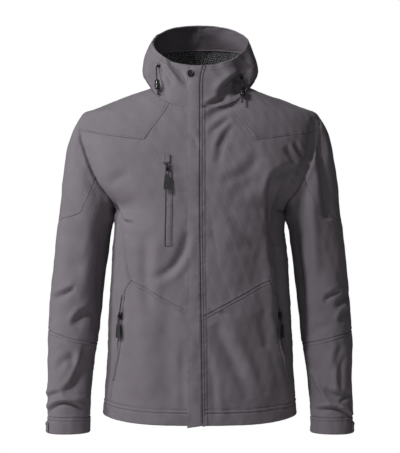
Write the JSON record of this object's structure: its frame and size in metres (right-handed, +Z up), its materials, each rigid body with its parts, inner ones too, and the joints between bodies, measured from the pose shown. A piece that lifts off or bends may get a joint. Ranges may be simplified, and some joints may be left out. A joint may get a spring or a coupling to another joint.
{
  "type": "hooded softshell jacket",
  "caption": "Filled-out hooded softshell jacket, zipped up under a storm flap, with set-in sleeves, tabbed cuffs, a stand collar and its hood down.",
  "frame": {"origin": "where the wearer's shoulders hold the jacket: the middle of the neck, level with the inner ends of the shoulder seams", "axes": "+Z up, -Y out of the front of the jacket, +X to the wearer's left"},
  "size_m": [0.6556, 0.3373, 0.888],
  "materials": {
    "softshell": "matt bonded stretch weave",
    "mesh": "matt warp-knit mesh",
    "zip": "satin tape and coil",
    "elastic": "round braided elastic",
    "black_metal": "black enamel",
    "rubber": "moulded matt"
  },
  "bodies": {
    "jacket": {"yoke_left": "softshell", "yoke_right": "softshell", "chest_left": "softshell", "chest_right": "softshell", "lower_front_left": "softshell", "lower_front_right": "softshell", "side_left": "softshell", "side_right": "softshell", "back_yoke": "softshell", "back_body": "softshell", "sleeve_cap_left": "softshell", "sleeve_cap_right": "softshell", "sleeve_upper_left": "softshell", "sleeve_upper_right": "softshell", "sleeve_lower_left": "softshell", "sleeve_lower_right": "softshell", "cuff_left": "softshell", "cuff_right": "softshell", "cuff_tab_left": "softshell", "cuff_tab_right": "softshell", "collar_left": "softshell", "collar_right": "softshell", "hood_side_left": "softshell", "hood_side_right": "softshell", "hood_middle": "softshell", "hood_facing_left": "softshell", "hood_facing_right": "softshell", "zip_piping": "softshell", "storm_flap": "softshell", "chest_welt": "softshell", "hand_welt_left": "softshell", "hand_welt_right": "softshell", "hood_mesh": "mesh", "front_zip": "zip", "chest_zip_tape": "zip", "hand_zip_tape_left": "zip", "hand_zip_tape_right": "zip", "chest_slider": "black_metal", "hand_right_slider": "black_metal", "hand_left_slider": "black_metal", "snap_cap": "black_metal", "eyelet_left": "black_metal", "cord_lock_left": "black_metal", "drawcord_left": "elastic", "cord_knot_left": "elastic", "eyelet_right": "black_metal", "cord_lock_right": "black_metal", "drawcord_right": "elastic", "cord_knot_right": "elastic"},
    "chest_pull": {"chest_pull_link": "black_metal", "chest_pull_grip": "rubber"},
    "hand_right_pull": {"hand_right_pull_link": "black_metal", "hand_right_pull_grip": "rubber"},
    "hand_left_pull": {"hand_left_pull_link": "black_metal", "hand_left_pull_grip": "rubber"}
  },
  "joints": [
    {"name": "chest_pull_swing", "type": "hinge", "parent": "jacket", "child": "chest_pull", "pos_m": [-0.06735, -0.14135, -0.16626], "axis": [-0.9951, 0.0993, 0], "range_deg": [-5, 150]},
    {"name": "hand_right_pull_swing", "type": "hinge", "parent": "jacket", "child": "hand_right_pull", "pos_m": [-0.17007, -0.08875, -0.4758], "axis": [-0.7001, 0.7141, 0], "range_deg": [-5, 150]},
    {"name": "hand_left_pull_swing", "type": "hinge", "parent": "jacket", "child": "hand_left_pull", "pos_m": [0.17007, -0.08875, -0.4758], "axis": [-0.7001, -0.7141, 0], "range_deg": [-5, 150]}
  ]
}
